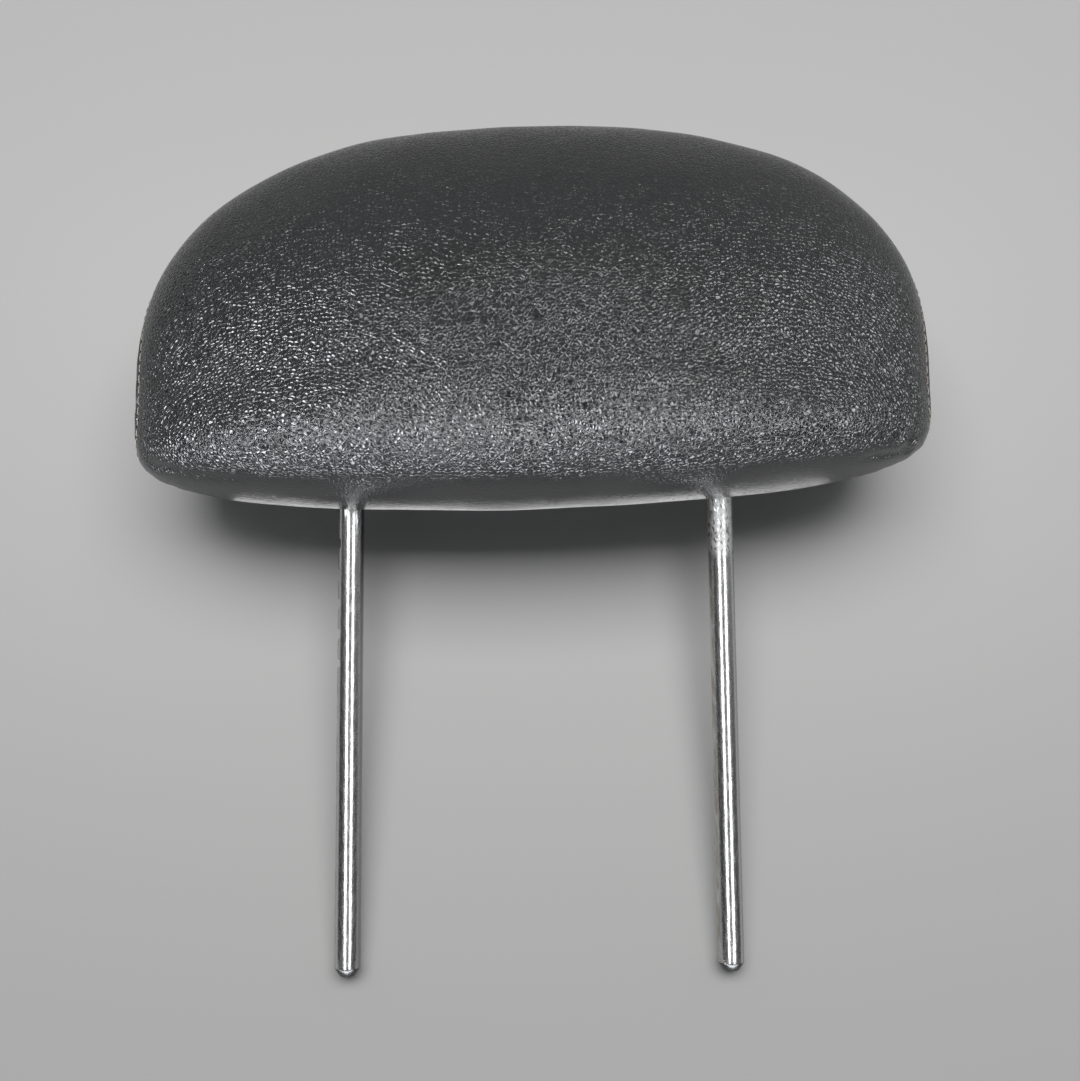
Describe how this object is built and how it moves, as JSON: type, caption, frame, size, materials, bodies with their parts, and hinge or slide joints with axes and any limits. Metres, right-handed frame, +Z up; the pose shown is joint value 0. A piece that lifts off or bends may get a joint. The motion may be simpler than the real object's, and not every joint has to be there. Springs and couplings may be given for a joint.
{
  "type": "car headrest",
  "caption": "Leather-covered D-shaped foam headrest on two steel posts, one of them notched for height locking, lying on its back.",
  "frame": {"origin": "middle of the bounding box, on the surface that the headrest lies on", "axes": "+Z up out of the headrest's face, +Y from the post tips towards the cushion's top, +X to the right when seen from the face with the posts down"},
  "size_m": [0.311, 0.327, 0.1001],
  "materials": {
    "face_leather": "grained, semi-gloss",
    "rear_leather": "grained, semi-gloss",
    "foam": "matte open-cell foam",
    "core_plastic": "moulded, matte",
    "screw_steel": "zinc plated",
    "post_steel": "bright polished, lightly worn",
    "strip_plastic": "extruded, satin"
  },
  "bodies": {
    "root": {"front_cover": "face_leather", "rear_cover": "rear_leather", "foam_pad": "foam", "core_front": "core_plastic", "core_rear": "core_plastic", "core_screw_1": "screw_steel", "core_screw_2": "screw_steel", "core_screw_3": "screw_steel", "core_screw_4": "screw_steel", "post_hoop": "post_steel", "closure_hook_front": "strip_plastic", "closure_hook_rear": "strip_plastic"}
  },
  "joints": []
}
